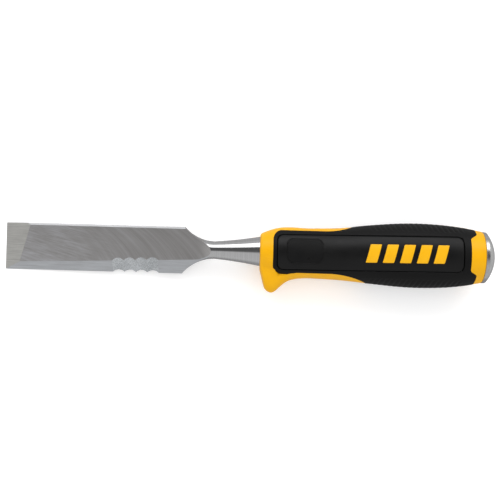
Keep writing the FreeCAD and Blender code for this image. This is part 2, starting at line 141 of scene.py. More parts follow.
def smooth_line(table, column, x):
    """A smooth curve through a table's points, by Hermite pieces with averaged slopes."""
    stations, heights = table[:, 0], table[:, column]
    slopes = np.gradient(heights, stations)
    place = np.clip(np.searchsorted(stations, x, side="right") - 1, 0, len(stations) - 2)
    width = stations[place + 1] - stations[place]
    t = np.clip((x - stations[place]) / width, 0, 1)
    return ((2 * t**3 - 3 * t**2 + 1) * heights[place] + (t**3 - 2 * t**2 + t) * width * slopes[place]
            + (3 * t**2 - 2 * t**3) * heights[place + 1] + (t**3 - t**2) * width * slopes[place + 1])


def section(x):
    """Half height, half depth and rise of the handle at a station."""
    return tuple(smooth_line(SECTIONS, column, x) for column in (1, 2, 3))


def step(x, low, high):
    """0 below low, 1 above high, and a smooth rise between."""
    t = np.clip((x - low) / (high - low), 0, 1)
    return t * t * (3 - 2 * t)


def bow(distance, radius):
    """How far a rounded edge has fallen at a distance in from its end."""
    t = np.clip(distance / radius, 0, 1)
    return radius * (1 - np.sqrt(t * (2 - t)))


def skin_height(x, y, inset):
    """Height of the handle's outer skin over the axis plane, sunk by an inset."""
    half_height, half_depth, rise = section(x)
    across = np.clip((y - rise) / (half_height - inset), -1, 1)
    return (half_depth - inset) * np.sqrt(1 - across**2)


def to_plate(x, y):
    """Plan position turned into the plate's own slightly tilted frame."""
    c, s = math.cos(PLATE_TILT), math.sin(PLATE_TILT)
    return PLATE[0] + (x - PLATE[0]) * c + y * s, y * c - (x - PLATE[0]) * s


def from_plate(x, y):
    c, s = math.cos(PLATE_TILT), math.sin(PLATE_TILT)
    return PLATE[0] + (x - PLATE[0]) * c - y * s, y * c + (x - PLATE[0]) * s


def outside(x, y, box):
    """Distance outside a rounded rectangle, negative inside."""
    x0, x1, y0, y1, corner = box
    qx = np.abs(x - (x0 + x1) / 2) - (x1 - x0) / 2 + corner
    qy = np.abs(y - (y0 + y1) / 2) - (y1 - y0) / 2 + corner
    return np.hypot(np.maximum(qx, 0), np.maximum(qy, 0)) + np.minimum(np.maximum(qx, qy), 0) - corner


def grip_edges(x):
    """Angles from the top at which the overmould's cover starts and ends at a station."""
    half_height, _, rise = section(x)
    along = np.clip(x - TOP_TURN, 0, TOP_SWEEP - 0.001)
    top = GRIP_TOP + TOP_SWEEP - np.sqrt(TOP_SWEEP**2 - along**2)
    along = np.clip(x - BOTTOM_TURN, 0, BOTTOM_SWEEP - 0.001)
    chin = (GRIP_CHIN - GRIP_BOTTOM) * np.clip((CHIN_BACK - x) / (CHIN_BACK - CHIN_FRONT), 0, 1)
    bottom = -GRIP_BOTTOM - chin - BOTTOM_SWEEP + np.sqrt(BOTTOM_SWEEP**2 - along**2)
    first = np.arccos(np.clip((top - rise) / half_height, -1, 1))
    last = np.arccos(np.clip((bottom - rise) / half_height, -1, 1))
    return first, last


def grip_front(y):
    """Station at which the cover starts, with its two rounded corners."""
    to_corner = np.minimum(GRIP_TOP - y, y + GRIP_CHIN)
    return GRIP_START + bow(to_corner, GRIP_CORNER)


def grip_back(y):
    """Station at which the cover ends, longer along the top and the bottom."""
    tab = step(y, TAB_TOP - TAB_SLOPE, TAB_TOP) + step(-y, TAB_BOTTOM - TAB_SLOPE, TAB_BOTTOM)
    return GRIP_END + GRIP_TAB * np.clip(tab, 0, 1)


# ---------------------------------------------------------------- meshes


def grid_quads(rows, columns, wrap=False):
    """Quads of a grid of points, stored row by row."""
    i = np.arange(rows - 1)[:, None]
    j = np.arange(columns if wrap else columns - 1)[None, :]
    k = (j + 1) % columns
    corners = (i * columns + j, (i + 1) * columns + j, (i + 1) * columns + k, i * columns + k)
    return np.stack([np.broadcast_to(c, np.broadcast(i, j).shape) for c in corners], -1).reshape(-1, 4)


def open_edges(quads):
    """Directed edges that only one quad uses."""
    edges = np.concatenate([quads[:, [k, (k + 1) % 4]] for k in range(4)])
    keys = np.sort(edges, axis=1)
    _, first, counts = np.unique(keys, axis=0, return_index=True, return_counts=True)
    return edges[first[counts == 1]]


def closed_shell(outer, inner, quads):
    """A closed body between two sheets that share their quads."""
    count = len(outer)
    edges = open_edges(quads)
    rim = np.stack([edges[:, 1], edges[:, 0], edges[:, 0] + count, edges[:, 1] + count], -1)
    points = np.concatenate([outer, inner])
    return points, np.concatenate([quads, quads[:, ::-1] + count, rim])


def make_object(name, points, faces, material, slot, crease=math.radians(40)):
    """A named piece from points in millimetres, shaded smooth but for its sharp edges."""
    mesh = bpy.data.meshes.new(name)
    mesh.from_pydata((points * MM).tolist(), [], [list(face) for face in faces])
    piece = bpy.data.objects.new(name, mesh)
    bpy.context.collection.objects.link(piece)
    work = bmesh.new()
    work.from_mesh(mesh)
    bmesh.ops.remove_doubles(work, verts=work.verts, dist=0.000002)
    bmesh.ops.dissolve_degenerate(work, edges=work.edges, dist=0.000001)
    bmesh.ops.recalc_face_normals(work, faces=work.faces)
    work.to_mesh(mesh)
    work.free()
    mesh.shade_smooth()
    mesh.set_sharp_from_angle(angle=crease)
    mesh.materials.append(material)
    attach(piece, "root")
    return piece


def flip(points):
    """The same points on the other side of the axis plane."""
    return points * (1, 1, -1) + (0, 0, 2 * AXIS)


# ---------------------------------------------------------------- handle pieces


def edge_distance(x, y, angle):
    """Distance inside the cover's outline, at an angle from the top."""
    half_height, half_depth, _ = section(x)
    first, last = grip_edges(x)
    girth = (half_height + half_depth) / 2
    to_top = np.where(first > LINE_ANGLE, (angle - first) * girth, NO_EDGE)
    to_bottom = np.where(last < math.pi - LINE_ANGLE, (last - angle) * girth, NO_EDGE)
    to_ends = np.minimum(x - grip_front(y), grip_back(y) - x)
    return np.minimum(np.minimum(to_top, to_bottom), to_ends)


def rib_depth(x, line, half_height, to_edge):
    """Depth of the fine ribs at a station and a height off the axis."""
    phase = (x + RIB_SLANT * line) / RIB_PITCH
    trough = 0.5 - 0.5 * np.cos(2 * math.pi * phase)
    where = (step(line, *RIB_LINE) * step(x, *RIB_START) * (1 - step(x, *RIB_STOP))
             * step(to_edge, *RIB_RIM) * (1 - RIB_FADE * step(line / half_height, 0.9, 0.995)))
    return RIB_DEPTH * where * trough**1.5


def cover_inset(x, y, angle):
    """How deep the cover's surface lies under the skin: plate opening, ribs and rounded edges."""
    half_height, _, rise = section(x)
    to_edge = edge_distance(x, y, angle)
    lip = bow(to_edge, LIP) * (PROUD + LIP_DROP) / LIP
    into_opening = GROOVE - outside(*to_plate(x, y), PLATE)
    opening = (PLATE_DEPTH + 0.1 + PROUD) * step(into_opening, -0.05, 0.28)
    return lip - PROUD + opening + rib_depth(x, np.abs(y - rise), half_height, to_edge)


def cover_sheet(columns=330):
    """Rows and columns of the front cheek of the cover, as stations, angles and heights."""
    row_counts = (46, 7, 20, 7, 46)
    rows = np.concatenate([np.linspace(n, n + 1, count, endpoint=False)
                           for n, count in enumerate(row_counts)] + [[len(row_counts)]])
    # plan heights between the row bands, just outside and just inside the plate's long edges
    walls = (PLATE[3] + GROOVE + 0.1, PLATE[3] - 0.2, PLATE[2] + 0.2, PLATE[2] - GROOVE - 0.1)
    t, band = np.meshgrid(np.linspace(0, 1, columns), rows)
    x = GRIP_START + t * (GRIP_END - GRIP_START)
    # the outline's ends depend on height and its sides on station, so the grid settles in a few turns
    for _ in range(6):
        half_height, _, rise = section(x)
        first, last = grip_edges(x)
        middle = (x - PLATE[0]) * math.tan(PLATE_TILT)
        inner = [np.arccos(np.clip((middle + height - rise) / half_height, -1, 1)) for height in walls]
        edges = [first, *inner, last]
        angle = np.zeros_like(x)
        for number in range(len(row_counts)):
            part = np.clip(band - number, 0, 1)
            angle += np.where(band >= number, part * (edges[number + 1] - edges[number]), 0)
        angle += first
        y = rise + half_height * np.cos(angle)
        x = grip_front(y) + t * (grip_back(y) - grip_front(y))
    return x, y, angle


def sheet_points(x, angle, inset):
    """Points of the front cheek, sunk under the skin by an inset."""
    half_height, half_depth, rise = section(x)
    return np.stack([x, rise + (half_height - inset) * np.cos(angle),
                     AXIS + (half_depth - inset) * np.sin(angle)], -1)


def make_cover(material):
    """The soft cover: two cheeks that join over the top and bottom behind the waist."""
    x, y, angle = cover_sheet()
    first, last = grip_edges(x)
    rows, columns = x.shape
    outer = sheet_points(x, angle, cover_inset(x, y, angle)).reshape(-1, 3)
    inner = sheet_points(x, angle, np.full_like(x, SKIN)).reshape(-1, 3)
    count = rows * columns
    quads = grid_quads(rows, columns)
    same = np.arange(count).reshape(rows, columns) + count
    own = np.arange(count).reshape(rows, columns)
    # the back cheek shares the front one's points where the two meet along the top and bottom
    same[0] = np.where(first[0] < LINE_ANGLE, own[0], same[0])
    same[-1] = np.where(last[-1] > math.pi - LINE_ANGLE, own[-1], same[-1])
    back = same.reshape(-1)[quads][:, ::-1]
    quads = np.concatenate([quads, back])
    points, faces = closed_shell(np.concatenate([outer, flip(outer)]),
                                 np.concatenate([inner, flip(inner)]), quads)
    used = np.unique(faces)
    place = np.zeros(len(points), int)
    place[used] = np.arange(len(used))
    cover = make_object("soft_cover", points[used], place[faces], material, "grip_rubber")
    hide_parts("grip_overmould")


def box_grid(box, spacing, edge_rows=5, edge=0.5):
    """A grid over a rounded rectangle, closer together along its edges."""
    x0, x1, y0, y1, corner = box

    def spread(length):
        inside = max(4, int((length - 2 * edge) / spacing))
        ends = edge * (1 - np.cos(np.linspace(0, math.pi / 2, edge_rows, endpoint=False)))
        return np.concatenate([ends, np.linspace(edge, length - edge, inside), length - ends[::-1]]) / length

    v, u = np.meshgrid(spread(y1 - y0), spread(x1 - x0), indexing="ij")
    y = y0 + v * (y1 - y0)
    pull = bow(np.minimum(y - y0, y1 - y), corner)
    return x0 + pull + u * (x1 - x0 - 2 * pull), y


def make_patch(names, x, y, top_inset, bottom_inset, material, slot):
    """One inlaid piece each side, between two depths under the skin."""
    px, py = from_plate(x, y)
    top = np.stack([px, py, AXIS + skin_height(px, py, top_inset)], -1).reshape(-1, 3)
    bottom = np.stack([px, py, AXIS + skin_height(px, py, bottom_inset)], -1).reshape(-1, 3)
    points, faces = closed_shell(top, bottom, grid_quads(*x.shape))
    for name, node, place in zip(*names, (points, flip(points))):
        piece = make_object(name, place, faces, material, slot)
        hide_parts(node)


def both_sides(name, ending=""):
    """The names of a piece on the front and on the back of the handle."""
    return [f"{name}_{side}{ending}" for side in ("front", "back")]


def make_plates(material):
    """Side plates with rounded rims and a recess for the thumb pad."""
    x, y = box_grid(PLATE, 0.34)
    rim = bow(-outside(x, y, PLATE), 0.4) * 0.8
    to_pad = outside(x, y, PAD)
    slope = 0.24 * step(-to_pad, -1.1, 0.1)
    recess = (INLAY_DEPTH - PAD_WALL) * step(-to_pad, -0.04, PAD_WALL)
    make_patch((both_sides("smooth_plate"), both_sides("side_plate")), x, y, rim + (slope + recess),
               np.full_like(x, PLATE_DEPTH), material, "plate_plastic")


def make_pads(material):
    """Thumb pads, a little sunk, with a small moulding mark."""
    x, y = box_grid(PAD, 0.25)
    to_rim = -outside(x, y, PAD)
    mark = np.hypot(x - (PAD[1] - MARK_BACK), y - (PAD[2] + MARK_UP))
    dot = MARK_DEPTH * (1 - step(mark, 0.4, 0.75))
    burr = 0.05 * step(mark, 0.6, 0.8) * (1 - step(mark, 0.9, 1.3))
    dish = 0.12 * (1 - step(to_rim, 0.5, 3.0))
    top = PAD_RECESS - 0.1 + bow(to_rim, 0.3) * 0.3 + (dot - burr) + dish * 0.4
    make_patch((both_sides("thumb_rest"), both_sides("thumb_pad")), x, y, top,
               np.full_like(x, INLAY_DEPTH), material, "pad_rubber")


def make_bars(material):
    """Raised slanted bars in a row, rounded along their edges."""
    # points gather towards the edges
    u, v = np.meshgrid(*[(1 - np.cos(np.linspace(0, 1, count) * math.pi)) / 2 for count in (25, 41)])
    corner = bow(np.minimum(v, 1 - v) * 2 * BAR_HALF_HEIGHT, 0.45)
    y = (2 * v - 1) * BAR_HALF_HEIGHT
    across = np.minimum(u, 1 - u) * BAR_WIDTH
    rim = bow(np.minimum(across, (BAR_HALF_HEIGHT - np.abs(y))), 0.3)
    for number in range(BAR_COUNT):
        left = BAR_START + number * BAR_STEP
        x = left + corner + u * (BAR_WIDTH - 2 * corner) + v * BAR_LEAN
        names = [both_sides(name, f"_{number + 1}") for name in ("raised_bar", "emblem_bar")]
        make_patch(names, x, y, rim - BAR_PROUD - 0.05, np.full_like(x, BAR_ROOT), material,
                   "emblem_plastic")


def core_scale(x, angle):
    """Reach of the hard core against its ellipse: 1, and more where the finger guard stands out."""
    half_height, half_depth, rise = section(x)
    reach = smooth_line(GUARD_LINE, 1, x) + rise
    reach = np.where(np.cos(angle) < 0, reach, 0.8 * half_height)
    power = 3.2
    fin = ((np.abs(half_height * np.cos(angle)) / reach) ** power
           + (np.abs(half_depth * np.sin(angle)) / GUARD_HALF_WIDTH) ** power) ** (-1 / power)
    blend = 18
    return (1 + fin**blend) ** (1 / blend)


def core_points(x, angle):
    """The hard core's surface, sunk where the cover lies over it."""
    half_height, half_depth, rise = section(x)
    scale = core_scale(x, angle)
    y = rise + half_height * np.cos(angle)
    folded = np.abs(np.mod(angle + math.pi, 2 * math.pi) - math.pi)
    under = edge_distance(x, y, folded)
    round_off = bow(x - FRONT, CORE_FRONT_EDGE) + bow(END - x, CORE_REAR_EDGE)
    inset = (SKIN + CORE_SINK) * step(under, *CORE_SINK_RUN) + round_off
    up = (half_height * scale - inset) * np.cos(angle)
    out = (half_depth * scale - inset) * np.sin(angle)
    return np.stack([x, rise + up, AXIS + out], -1)


def make_core(material):
    """Hard core: collar, finger guard, strips along the top and bottom, and rear collar."""
    # stations lie closest together at the front rounding and along the rear edge
    front = FRONT + 30.0 * np.linspace(0, 1, 190) ** 1.8
    rest = np.linspace(front[-1], END - CORE_REAR_EDGE, 300)[1:]
    rear = END - CORE_REAR_EDGE * np.cos(np.linspace(0, math.pi / 2, 7))[1:]
    around = np.linspace(0, 2 * math.pi, 280, endpoint=False)
    tube = core_points(*np.meshgrid(np.concatenate([front, rest, rear]), around, indexing="ij"))

    def ring(station, radius):
        return np.stack([np.full_like(around, station), radius * np.cos(around),
                         AXIS + radius * np.sin(around)], -1)

    bore = [ring(BORE_END, CORE_HOLE), ring(BORE_END, CORE_BORE), ring(FRONT, CORE_BORE)]
    seat_end = END - SPIGOT_LENGTH
    seat = [ring(END, SPIGOT + 0.1), ring(seat_end, SPIGOT + 0.1), ring(seat_end, CORE_HOLE)]
    points, faces = ring_body(np.concatenate([np.stack(bore), tube, np.stack(seat)]))
    core = make_object("hard_core", points, faces, material, "core_plastic")
    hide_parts("handle_core")


def ring_body(rings):
    """Points and faces of a body made of rings of points, closed at both ends."""
    rows, columns = rings.shape[:2]
    faces = grid_quads(rows, columns, wrap=True).tolist()
    faces += [list(range(columns)), list(range((rows - 1) * columns, rows * columns))]
    return rings.reshape(-1, 3), faces


def lathe(profile, segments=160):
    """Points and faces of a body turned about the handle's axis."""
    around = np.linspace(0, 2 * math.pi, segments, endpoint=False)
    return ring_body(np.array([[(x, r * math.cos(a), AXIS + r * math.sin(a)) for a in around]
                               for x, r in profile]))


def make_cap(material):
    """Strike cap turned from steel: rolled edge, domed face and spigot."""
    radius = (CAP_RADIUS**2 + CAP_DOME**2) / (2 * CAP_DOME)
    centre = END + CAP_BAND + CAP_DOME - radius
    seat, spigot_end = END + 0.02, END - SPIGOT_LENGTH
    profile = [(spigot_end, TURNED_HOLE), (spigot_end, SPIGOT - SPIGOT_CHAMFER),
               (spigot_end + SPIGOT_CHAMFER, SPIGOT), (seat, SPIGOT), (seat, CAP_RADIUS - CAP_EDGE)]
    profile += [(seat + CAP_EDGE * (1 - math.cos(a)), CAP_RADIUS - CAP_EDGE * (1 - math.sin(a)))
                for a in np.linspace(0, math.pi / 2, 6)[1:]]
    # a short curve rolls the band over into the dome
    start = math.asin((CAP_RADIUS - CAP_RIM * 0.42) / radius)
    low = np.array((END + CAP_BAND - CAP_RIM * 0.5, CAP_RADIUS))
    mid = np.array((END + CAP_BAND + 0.12, CAP_RADIUS - 0.02))
    high = np.array((centre + radius * math.cos(start), radius * math.sin(start)))
    for t in np.linspace(0, 1, 9):
        profile.append(tuple((1 - t) ** 2 * low + 2 * t * (1 - t) * mid + t**2 * high))
    for slope in np.linspace(start, 0.012, 34)[1:]:
        profile.append((centre + radius * math.cos(slope), radius * math.sin(slope)))
    cap = make_object("turned_cap", *lathe(profile), material, "cap_steel")
    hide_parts("strike_cap")


def make_neck(material):
    """Neck that flares like a trumpet into the bolster, with the tang behind it."""
    run, rise = FRONT - NECK_END, BOLSTER_RADIUS - NECK_RADIUS
    sag = (run**2 + rise**2) / (8 * BOLSTER_SWEEP)
    tang_end = END - SPIGOT_LENGTH
    profile = [(NECK_CUT, TURNED_HOLE), (NECK_CUT, NECK_RADIUS)]
    for t in np.linspace(0, 1, 60)[:-1]:
        profile.append((NECK_END + t * run, NECK_RADIUS + rise * t - 4 * sag * t * (1 - t)))
    profile += [(FRONT - BOLSTER_CHAMFER, BOLSTER_RADIUS - 0.02), (FRONT, BOLSTER_RADIUS - BOLSTER_CHAMFER),
                (FRONT, TANG_RADIUS), (tang_end, TANG_RADIUS), (tang_end, TURNED_HOLE)]
    neck = make_object("turned_neck", *lathe(profile, 128), material, "blade_steel")
    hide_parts("blade")


def make_blade(materials):
    """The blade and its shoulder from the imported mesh, with the ground edges broken."""
    mesh = frame["nodes"]["blade"].data.copy()
    mesh.name = "forged_blade"
    mesh.materials.clear()
    blade = bpy.data.objects.new("forged_blade", mesh)
    bpy.context.collection.objects.link(blade)
    work = bmesh.new()
    work.from_mesh(mesh)
    bmesh.ops.remove_doubles(work, verts=work.verts, dist=0.000005)
    cut = bmesh.ops.bisect_plane(work, geom=work.verts[:] + work.edges[:] + work.faces[:],
                                 plane_co=(NECK_CUT * MM, 0, 0), plane_no=(1, 0, 0), clear_outer=True)
    open_rim = [item for item in cut["geom_cut"] if isinstance(item, bmesh.types.BMEdge)]
    bmesh.ops.contextual_create(work, geom=open_rim)
    bmesh.ops.dissolve_limit(work, angle_limit=math.radians(0.4), verts=work.verts, edges=work.edges)
    work.to_mesh(mesh)
    work.free()
    bevel = blade.modifiers.new("broken_edges", "BEVEL")
    bevel.limit_method = "ANGLE"
    bevel.angle_limit = math.radians(19)
    bevel.width = EDGE_BREAK * MM
    bevel.segments = 2
    bevel.use_clamp_overlap = True
    for material in materials:
        mesh.materials.append(material)
    bpy.context.view_layer.update()
    shaped = bpy.data.meshes.new_from_object(blade.evaluated_get(bpy.context.evaluated_depsgraph_get()))
    blade.modifiers.clear()
    blade.data = shaped
    shaped.name = "forged_blade_mesh"
    shaped.shade_smooth()
    shaped.set_sharp_from_angle(angle=math.radians(24))
    finish_blade_faces(shaped)
    smooth_tongue(shaped)
    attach(blade, "root")
    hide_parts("blade")


# directions of the flat faces: ground face, end bevel, side bevel, land, back and spine side
GROUND_PLANES = [Vector(direction).normalized() for direction in (
    (-0.0286, -0.121, 1), (-0.43, 0, 1), (0, -0.853, 1), (-0.0286, 0.7, 1), (0, 0, -1), (0, 1, 0))]
PLANE_ZONES = (0, 1, 2, 5, 0, 2)
PLANE_MATCH = math.cos(math.radians(0.8))


def ground_plane(station, normal):
    """Which of the blade's flat faces a face belongs to, or -1; the turned neck has none."""
    for number, direction in enumerate(GROUND_PLANES):
        if station < FACES_END and normal.dot(direction) > PLANE_MATCH:
            return number
    return -1


def finish_blade_faces(mesh):
    """Give each face its finish and keep the flat faces' edges crisp."""
    work = bmesh.new()
    work.from_mesh(mesh)
    for face in work.faces:
        face.material_index = blade_zone(face.calc_center_median() / MM, face.normal)
    for edge in work.edges:
        planes = {ground_plane(face.calc_center_median().x / MM, face.normal) for face in edge.link_faces}
        if len(planes) > 1:
            edge.smooth = False
    work.to_mesh(mesh)
    work.free()


def smooth_tongue(mesh):
    """Shade the tongue, where the ground face curves up into the neck, as the round sweep it is."""
    normals = [corner.vector.copy() for corner in mesh.corner_normals]
    for face in mesh.polygons:
        x, _, z = face.center / MM
        if face.material_index != 0 or not TONGUE_START < x < NECK_CUT or z < AXIS or face.normal.z < 0.8:
            continue
        for corner in face.loop_indices:
            station = mesh.vertices[mesh.loops[corner].vertex_index].co.x / MM
            lean = -max(station - TONGUE_START, 0.0) / TONGUE_SWEEP
            sweep = Vector((lean + FACE_FALL, FACE_TWIST, math.sqrt(1 - lean * lean)))
            normals[corner] = sweep.normalized()
    mesh.normals_split_custom_set(normals)


def blade_zone(place, normal):
    """Which finish a face has: 0 ground, 1 end bevel, 2 side bevel, 3 scallops, 4 turned, 5 land."""
    x, y, _ = place
    plane = ground_plane(x, normal)
    if plane >= 0:
        return PLANE_ZONES[plane]
    on_tongue = normal.x < -0.06 and normal.z > 0.85 and x < TONGUE_END
    if x > TURNED_START and not on_tongue:
        return 4
    if SCALLOP_START < x < SCALLOP_END and y < SCALLOP_TOP and normal.z > 0.1:
        return 3
    return 0


# ---------------------------------------------------------------- materials


def fill_ramp(ramp, stops):
    """Set a ramp's stops, given as positions in rising order with their colours."""
    elements = ramp.color_ramp.elements
    for element, (position, tint) in zip((elements[0], elements[1]), (stops[0], stops[-1])):
        element.position = position
        element.color = (*tint, 1)
    for position, tint in stops[1:-1]:
        elements.new(position).color = (*tint, 1)


class Finish:
    """A material under construction: one principled shader fed by procedural patterns."""

    def __init__(self, name, base, roughness, **sockets):
        self.material = bpy.data.materials.new(name)
        self.material.use_nodes = True
        self.nodes = self.material.node_tree.nodes
        self.links = self.material.node_tree.links
        self.shader = self.nodes["Principled BSDF"]
        self.shader.inputs["Base Color"].default_value = (*base, 1)
        self.shader.inputs["Roughness"].default_value = roughness
        for socket, amount in sockets.items():
            self.shader.inputs[socket.replace("_", " ")].default_value = amount
        self.place = self.nodes.new("ShaderNodeTexCoord").outputs["Object"]
        self.height = None

    def node(self, kind, **settings):
        made = self.nodes.new(kind)
        for key, setting in settings.items():
            setattr(made, key, setting)
        return made

    def math(self, operation, first, second=0.0):
        made = self.node("ShaderNodeMath", operation=operation)
        for socket, given in zip(made.inputs, (first, second)):
            if isinstance(given, (int, float)):
                socket.default_value = given
            else:
                self.links.new(given, socket)
        return made.outputs[0]

    def blend(self, fac, first, second):
        """The first pattern where fac is 0, the second where it is 1."""
        gap = self.math("SUBTRACT", second, first)
        return self.math("ADD", first, self.math("MULTIPLY", fac, gap))

    def stretched(self, scale, turn=(0, 0, 0), source=None):
        """A place in space, scaled and then turned."""
        made = self.node("ShaderNodeMapping")
        made.inputs["Scale"].default_value = scale
        made.inputs["Rotation"].default_value = turn
        self.links.new(source or self.place, made.inputs["Vector"])
        return made.outputs[0]

    def noise(self, vector, detail=3.0, roughness=0.55):
        made = self.node("ShaderNodeTexNoise")
        made.inputs["Scale"].default_value = 1.0
        made.inputs["Detail"].default_value = detail
        made.inputs["Roughness"].default_value = roughness
        self.links.new(vector, made.inputs["Vector"])
        return made.outputs["Fac"]

    def band(self, fac, low, high, start=0.3, stop=0.7):
        """From low to high while a pattern goes from start to stop."""
        made = self.node("ShaderNodeMapRange")
        for socket, amount in zip(("From Min", "From Max", "To Min", "To Max"), (start, stop, low, high)):
            made.inputs[socket].default_value = amount
        self.links.new(fac, made.inputs["Value"])
        return made.outputs["Result"]

    def color(self, fac, *stops):
        """Colour from a pattern, by stops of pattern level and tint."""
        ramp = self.node("ShaderNodeValToRGB")
        fill_ramp(ramp, stops)
        self.links.new(fac, ramp.inputs["Fac"])
        self.links.new(ramp.outputs["Color"], self.shader.inputs["Base Color"])

    def roughness(self, fac, low, high):
        self.links.new(self.band(fac, low, high), self.shader.inputs["Roughness"])

    def bump(self, fac, strength, distance):
        """Relief from a pattern, laid over the reliefs added before it."""
        made = self.node("ShaderNodeBump")
        made.inputs["Strength"].default_value = strength
        made.inputs["Distance"].default_value = distance
        self.links.new(fac, made.inputs["Height"])
        if self.height is not None:
            self.links.new(self.height, made.inputs["Normal"])
        self.height = made.outputs["Normal"]
        self.links.new(self.height, self.shader.inputs["Normal"])


def grey(level):
    return (level, level, level)


def ground_steel():
    """Surface-ground face: shallow slanted scratches near the edge, curved wheel marks behind them."""
    finish = Finish("ground_steel", grey(0.5), 0.36, Metallic=1.0)
    parts = finish.node("ShaderNodeSeparateXYZ")
    finish.links.new(finish.place, parts.inputs[0])
    # the wheel's marks are arcs of this radius, centred this far to the guard side, in metres
    wheel, wheel_offset = 0.062, 0.040
    rise = finish.math("ADD", parts.outputs["Y"], wheel_offset)
    square = finish.math("MULTIPLY", rise, rise)
    sag = finish.math("SQRT", finish.math("MAXIMUM", finish.math("SUBTRACT", wheel * wheel, square), 0.0))
    sweep = finish.math("SUBTRACT", parts.outputs["X"], sag)
    joined = finish.node("ShaderNodeCombineXYZ")
    finish.links.new(sweep, joined.inputs["X"])
    finish.links.new(parts.outputs["Y"], joined.inputs["Y"])
    lines = finish.noise(finish.stretched((1500, 30, 1), source=joined.outputs[0]), detail=6, roughness=0.75)
    broad = finish.noise(finish.stretched((330, 18, 1), source=joined.outputs[0]), detail=3)
    turned = finish.stretched((1, 1, 1), (0, 0, 0.26))
    shallow = finish.noise(finish.stretched((90, 1100, 1), source=turned), detail=5, roughness=0.65)
    patch = finish.noise(finish.stretched((55, 150, 1), source=turned), detail=3)
    arcs = finish.math("ADD", finish.math("MULTIPLY", lines, 0.4), finish.math("MULTIPLY", broad, 0.4))
    scratches = finish.math("ADD", finish.math("MULTIPLY", shallow, 0.6), finish.math("MULTIPLY", patch, 0.2))
    to_arcs = finish.band(parts.outputs["X"], 0, 1, 0.035, 0.066)
    mixed = finish.blend(to_arcs, scratches, arcs)
    along = finish.band(parts.outputs["X"], 0.17, 0.04, 0.01, 0.09)
    mixed = finish.math("ADD", finish.math("ADD", mixed, along),
                        finish.math("MULTIPLY", finish.math("SUBTRACT", patch, 0.5), 0.12))
    finish.color(mixed, (0.3, (0.36, 0.345, 0.335)), (0.5, (0.51, 0.5, 0.495)), (0.7, (0.69, 0.69, 0.71)))
    finish.roughness(mixed, 0.42, 0.33)
    finish.bump(finish.blend(to_arcs, shallow, lines), 0.35, 0.00002)
    finish.bump(patch, 0.12, 0.00006)
    return finish.material


def bevel_steel(name, stretch, low, high, rough, bite=0.3):
    """Ground bevel with straight fine marks, as deep as the wheel has bitten."""
    finish = Finish(name, high, rough, Metallic=1.0)
    lines = finish.noise(finish.stretched(stretch), detail=4, roughness=0.7)
    cloud = finish.noise(finish.stretched((60, 60, 60)), detail=2)
    mixed = finish.math("ADD", finish.math("MULTIPLY", lines, 0.8), finish.math("MULTIPLY", cloud, 0.2))
    finish.color(mixed, (0.36, low), (0.64, high))
    finish.roughness(mixed, rough + 0.05, rough - 0.05)
    finish.bump(lines, bite, 0.00002)
    return finish.material


def turned_steel():
    """Polished neck and bolster with faint turning rings and long streaks."""
    finish = Finish("polished_neck", grey(0.62), 0.1, Metallic=1.0)
    rings = finish.noise(finish.stretched((2400, 20, 20)), detail=3, roughness=0.7)
    streaks = finish.noise(finish.stretched((18, 500, 500)), detail=3)
    finish.color(rings, (0.3, grey(0.55)), (0.7, grey(0.63)))
    finish.roughness(streaks, 0.07, 0.13)
    finish.bump(rings, 0.12, 0.00001)
    finish.bump(streaks, 0.08, 0.00001)
    return finish.material


def cap_steel():
    """Satin strike cap: rings turned about the axis and small hammer scuffs."""
    finish = Finish("satin_cap", grey(0.5), 0.24, Metallic=1.0)
    shifted = finish.node("ShaderNodeVectorMath", operation="MULTIPLY_ADD")
    finish.links.new(finish.place, shifted.inputs[0])
    shifted.inputs[1].default_value = (0, 1, 1)
    shifted.inputs[2].default_value = (0, 0, -AXIS * MM)
    length = finish.node("ShaderNodeVectorMath", operation="LENGTH")
    finish.links.new(shifted.outputs[0], length.inputs[0])
    joined = finish.node("ShaderNodeCombineXYZ")
    finish.links.new(length.outputs["Value"], joined.inputs["X"])
    rings = finish.noise(finish.stretched((3200, 1, 1), source=joined.outputs[0]), detail=3, roughness=0.7)
    scuffs = finish.noise(finish.stretched((260, 260, 260)), detail=5, roughness=0.65)
    mixed = finish.math("ADD", finish.math("MULTIPLY", rings, 0.5), finish.math("MULTIPLY", scuffs, 0.5))
    finish.color(mixed, (0.36, grey(0.44)), (0.62, grey(0.62)))
    finish.roughness(mixed, 0.18, 0.3)
    finish.bump(rings, 0.25, 0.00002)
    finish.bump(scuffs, 0.18, 0.00005)
    return finish.material


def moulded(name, low, high, rough, grain, bump, **sockets):
    """Moulded plastic or rubber: fine grain, slow mottling and uneven gloss."""
    finish = Finish(name, high, rough, **sockets)
    fine = finish.noise(finish.stretched((grain, grain, grain)), detail=3, roughness=0.6)
    slow = finish.noise(finish.stretched((110, 110, 110)), detail=3)
    finish.color(slow, (0.32, low), (0.68, high))
    finish.roughness(slow, rough - 0.04, rough + 0.05)
    finish.bump(fine, bump, 0.00004)
    return finish.material


# ---------------------------------------------------------------- studio


# bench: half its size, and the gap under the tip
BENCH_HALF, BENCH_GAP = 6.0, 0.0001


def seat_angle():
    """Tilt at which the bench, hinged at the tip, touches the lowest point of the handle."""
    tilt = 0.0
    for piece in bpy.data.objects:
        if piece.type == "MESH" and not piece.hide_render:
            points = np.empty(3 * len(piece.data.vertices))
            piece.data.vertices.foreach_get("co", points)
            points = points.reshape(-1, 3)
            handle = points[points[:, 0] > FRONT * MM]
            if len(handle):
                tilt = max(tilt, math.atan(np.max(-handle[:, 2] / handle[:, 0])))
    return tilt


